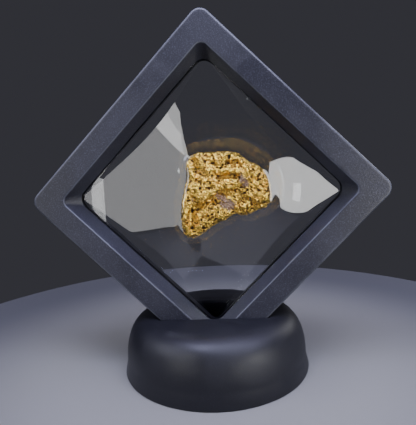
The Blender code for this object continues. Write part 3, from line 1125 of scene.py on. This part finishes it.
@dataclass
class FilmPair:
    """Two clear films, each clamped round the window and stretched over one side of the nugget."""

    finish: ClearFilm
    case: DisplayCase
    grip_side: float = 74 * MM
    thickness: float = 0.08 * MM
    rest: float = 0.75 * MM
    clearance: float = 0.09 * MM
    cells: int = 144
    coarse_cells: int = 18
    sweeps: int = 500
    crown_radius: float = 600 * MM
    inset: int = 1
    easing: int = 2
    hold_reach: float = 0.05 * MM

    def axis(self, cells: int) -> np.ndarray:
        """Returns the grid lines across the window for a number of cells."""
        half = self.case.window_at_film / 2
        return np.linspace(-half, half, cells + 1)

    def obstacle(self, side: Side, tree: BVHTree) -> np.ndarray:
        """Measures how far the nugget stands out above the film's own plane.

        Args:
            side: Which film.
            tree: The nugget's skin.

        Returns:
            The height at each grid point, 0 beside the nugget.
        """
        lines = self.axis(self.cells)
        heights = np.zeros((len(lines), len(lines)))
        inward = Vector((0, -side.value, 0))
        for i, u in enumerate(lines):
            for j, v in enumerate(lines):
                start = self.case.place(u, side.value * self.case.depth, v)
                hit = tree.ray_cast(start, inward)[0]
                if hit is not None:
                    heights[i, j] = side.value * hit.y + self.clearance - self.rest
        return self.drawn_flat(heights)

    def drawn_flat(self, heights: np.ndarray) -> np.ndarray:
        """Draws the film almost flat over the nugget's high spots, as a tight film lies.

        Args:
            heights: The nugget's height at each grid point, 0 beside it.

        Returns:
            The film's least height at each grid point, 0 beside the nugget.
        """
        covered = heights > 0
        lines = self.axis(self.cells)
        u, v = np.meshgrid(lines, lines, indexing="ij")
        middle_u, middle_v = u[covered].mean(), v[covered].mean()
        drop = ((u - middle_u) ** 2 + (v - middle_v) ** 2) / (2 * self.crown_radius)
        crown = (heights + drop)[covered].max() - drop
        for _ in range(self.inset):
            inner = np.zeros_like(covered)
            inner[1:-1, 1:-1] = (covered[1:-1, 1:-1] & covered[2:, 1:-1] & covered[:-2, 1:-1]
                                 & covered[1:-1, 2:] & covered[1:-1, :-2])
            covered = inner
        return np.where(covered, crown, 0)

    def held(self, cells: int) -> np.ndarray:
        """Marks the grid points that the window's rounded edge holds still.

        Args:
            cells: How many cells the grid has each way.

        Returns:
            True at each point that is held.
        """
        lines = np.abs(self.axis(cells))
        half, radius = self.case.window_at_film / 2, self.case.window_corner_at_film
        past = np.maximum(lines - (half - radius), 0)
        away = np.hypot(*np.meshgrid(past, past, indexing="ij"))
        return away > radius - self.hold_reach

    def stretch(self, obstacle: np.ndarray) -> np.ndarray:
        """Relaxes a taut sheet over the obstacle, from a coarse grid to the fine one.

        Args:
            obstacle: The least height at each grid point.

        Returns:
            The sheet's height at each grid point.
        """
        cells, sheet = self.coarse_cells, None
        while cells <= self.cells:
            skip = self.cells // cells
            least = obstacle[::skip, ::skip]
            if skip > 1:
                blocks = [np.roll(obstacle, (i, j), (0, 1)) for i in (-skip // 2, 0, skip // 2)
                          for j in (-skip // 2, 0, skip // 2)]
                least = np.max(blocks, axis=0)[::skip, ::skip]
            sheet = least.copy() if sheet is None else np.maximum(self.doubled(sheet), least)
            still = self.held(cells)
            for _ in range(self.sweeps):
                level = (sheet[2:, 1:-1] + sheet[:-2, 1:-1] + sheet[1:-1, 2:] + sheet[1:-1, :-2]) / 4
                sheet[1:-1, 1:-1] = np.maximum(level, least[1:-1, 1:-1])
                sheet[still] = 0
            cells *= 2
        for _ in range(self.easing):
            for turned in (sheet, sheet.T):
                turned[1:-1] = (turned[2:] + 2 * turned[1:-1] + turned[:-2]) / 4
        return sheet

    @staticmethod
    def doubled(sheet: np.ndarray) -> np.ndarray:
        """Puts a sheet on a grid with twice as many cells each way.

        Args:
            sheet: The sheet's heights.

        Returns:
            Its heights on the finer grid.
        """
        size = 2 * sheet.shape[0] - 1
        finer = np.zeros((size, size))
        finer[::2, ::2] = sheet
        finer[1::2, ::2] = (sheet[1:] + sheet[:-1]) / 2
        finer[:, 1::2] = (finer[:, 2::2] + finer[:, :-2:2]) / 2
        return finer

    def build_film(self, side: Side, nugget: bpy.types.Object) -> bpy.types.Object:
        """Builds one film.

        Args:
            side: Which film.
            nugget: The finished nugget that it lies on.

        Returns:
            The film, in place and finished.
        """
        sheet = self.stretch(self.obstacle(side, tree_of(nugget.data)))
        lines = np.concatenate([[-self.grip_side / 2], self.axis(self.cells), [self.grip_side / 2]])
        heights = np.pad(sheet, 1)
        bm = bmesh.new()
        grid = [[bm.verts.new(self.case.place(u, side.value * (self.rest + heights[i, j]), v))
                 for j, v in enumerate(lines)] for i, u in enumerate(lines)]
        for i in range(len(lines) - 1):
            for j in range(len(lines) - 1):
                bm.faces.new((grid[i][j], grid[i + 1][j], grid[i + 1][j + 1], grid[i][j + 1]))
        name = side.name.lower()
        made = object_from(f"film_{name}_sheet", mesh_from(bm, f"film_{name}_sheet"))
        made.data.shade_smooth()
        shell = made.modifiers.new("thickness", "SOLIDIFY")
        shell.thickness, shell.offset, shell.use_even_offset = self.thickness, 0, True
        settle(made)
        made.data.materials.append(self.finish.material)
        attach(made, "root")
        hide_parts(f"film_{name}")
        return made


# ------------------------------------------------------------------------------ studio


@dataclass(frozen=True)
class Softbox:
    """A large soft lamp that faces the object."""

    name: str
    azimuth: float
    elevation: float
    width: float
    height: float
    brightness: float
    distance: float = 0.55
    shift: Span = (0.0, 0.0)
    roll: float = 0.0
    colour: Colour = (1.0, 1.0, 1.0)

    def build(self, target: Vector) -> bpy.types.Object:
        """Builds the lamp.

        Args:
            target: The point it faces.

        Returns:
            The lamp.
        """
        light = bpy.data.lights.new(self.name, "AREA")
        light.shape = "RECTANGLE"
        light.size, light.size_y, light.color = self.width, self.height, self.colour
        light.energy = self.brightness * math.pi * self.width * self.height
        turn, lift = math.radians(self.azimuth), math.radians(self.elevation)
        away = Vector((math.sin(turn) * math.cos(lift), -math.cos(turn) * math.cos(lift), math.sin(lift)))
        made = object_from(self.name, light)
        facing = away.to_track_quat("Z", "Y").to_matrix()
        made.location = target + facing @ Vector((*self.shift, self.distance))
        made.rotation_euler = (facing @ Matrix.Rotation(math.radians(self.roll), 3, "Z")).to_euler()
        made.visible_camera = False
        return made


@dataclass
class Studio:
    """A pale floor, soft lamps and the camera."""

    paper: StudioPaper
    floor_radius: float = 150 * MM
    floor_segments: int = 96
    camera_place: Point = (0.00902, -0.14705, 0.07291)
    camera_target: Point = (-0.000786, -0.000627, 0.057097)
    camera_roll: float = -2.719
    lens: float = 33.87
    sensor_width: float = 36.0
    clip_start: float = 5 * MM
    world_colour: Colour = (0.036, 0.036, 0.044)
    lamps: tuple[Softbox, ...] = (
        Softbox("left_softbox", -32, 4, 0.255, 0.405, 2.0, shift=(-0.0825, -0.0425)),
        Softbox("left_softbox_top", -32, 4, 0.255, 0.14, 2.0, shift=(-0.0825, 0.23)),
        Softbox("left_edge", -32, 4, 0.065, 0.10, 4.0, shift=(0.1525, -0.05)),
        Softbox("left_top_edge", -32, 4, 0.31, 0.10, 3.8, distance=0.545, shift=(-0.06, 0.31), roll=-30),
        Softbox("left_fill", -70, 30, 0.30, 0.30, 3.5, distance=0.5, colour=(0.80, 0.82, 1.0)),
        Softbox("right_softbox", 36, -4, 0.47, 0.328, 5.6, shift=(0.1264, 0.0551), roll=57),
        Softbox("right_rear_fill", 124, 20, 0.20, 0.20, 3.0, distance=0.5),
        Softbox("top_softbox", -10, 66, 0.46, 0.14, 13.0, distance=0.34, shift=(0.12, 0.0),
                colour=(0.66, 0.69, 1.0)),
        Softbox("ceiling", 4, 86, 0.80, 0.24, 2.9, distance=0.42, shift=(0.12, 0.0),
                colour=(0.68, 0.66, 1.0)),
    )

    def build_floor(self) -> bpy.types.Object:
        """Builds the floor.

        Returns:
            The floor.
        """
        bm = bmesh.new()
        bmesh.ops.create_circle(bm, cap_ends=True, radius=self.floor_radius, segments=self.floor_segments)
        made = object_from("floor", mesh_from(bm, "floor"))
        made.data.materials.append(self.paper.material)
        return made

    def build_world(self) -> None:
        """Sets the plain grey surroundings."""
        world = bpy.data.worlds.new("studio")
        world.use_nodes = True
        world.node_tree.nodes["Background"].inputs["Color"].default_value = rgba(self.world_colour)
        bpy.context.scene.world = world

    def build_camera(self) -> bpy.types.Object:
        """Builds the camera.

        Returns:
            The camera, which is made the scene's own.
        """
        data = bpy.data.cameras.new("camera")
        data.lens, data.sensor_width, data.clip_start = self.lens, self.sensor_width, self.clip_start
        made = object_from("camera", data)
        made.location = self.camera_place
        aim = (Vector(self.camera_target) - made.location).to_track_quat("-Z", "Y")
        roll = Matrix.Rotation(math.radians(self.camera_roll), 3, "Z")
        made.rotation_euler = (aim.to_matrix() @ roll).to_euler()
        bpy.context.scene.camera = made
        return made

    def build(self, target: Vector) -> None:
        """Builds the whole studio.

        Args:
            target: The point that the lamps face.
        """
        self.build_floor()
        self.build_world()
        for lamp in self.lamps:
            lamp.build(target)
        self.build_camera()


# ------------------------------------------------------------------------------ assembly


def report(made: bpy.types.Object) -> None:
    """Logs a finished piece's name and size.

    Args:
        made: The piece.
    """
    size = " x ".join(f"{side / MM:.1f}" for side in made.dimensions)
    log.info("%s: %s mm, %d faces", made.name, size, len(made.data.polygons))


def main() -> None:
    """Builds every sub-assembly in order."""
    logging.basicConfig(level=logging.INFO, format="%(name)s: %(message)s")
    case = DisplayCase(BlackPlastic("case_plastic"))
    for side in Side:
        report(case.build_half(side))
    satin = BlackPlastic("foot_plastic", colour=(0.006, 0.006, 0.009), roughness=0.45, gloss=0.42,
                         grain_depth=0.008 * MM, speck_share=0.08, haze=0.2)
    report(Foot(satin, case).build())
    nugget = Nugget(NativeGold("native_gold"), case.centre).build()
    report(nugget)
    films = FilmPair(ClearFilm("clear_film"), case)
    for side in Side:
        report(films.build_film(side, nugget))
    Studio(StudioPaper("studio_paper")).build(case.centre)


if __name__ == "__main__":
    main()
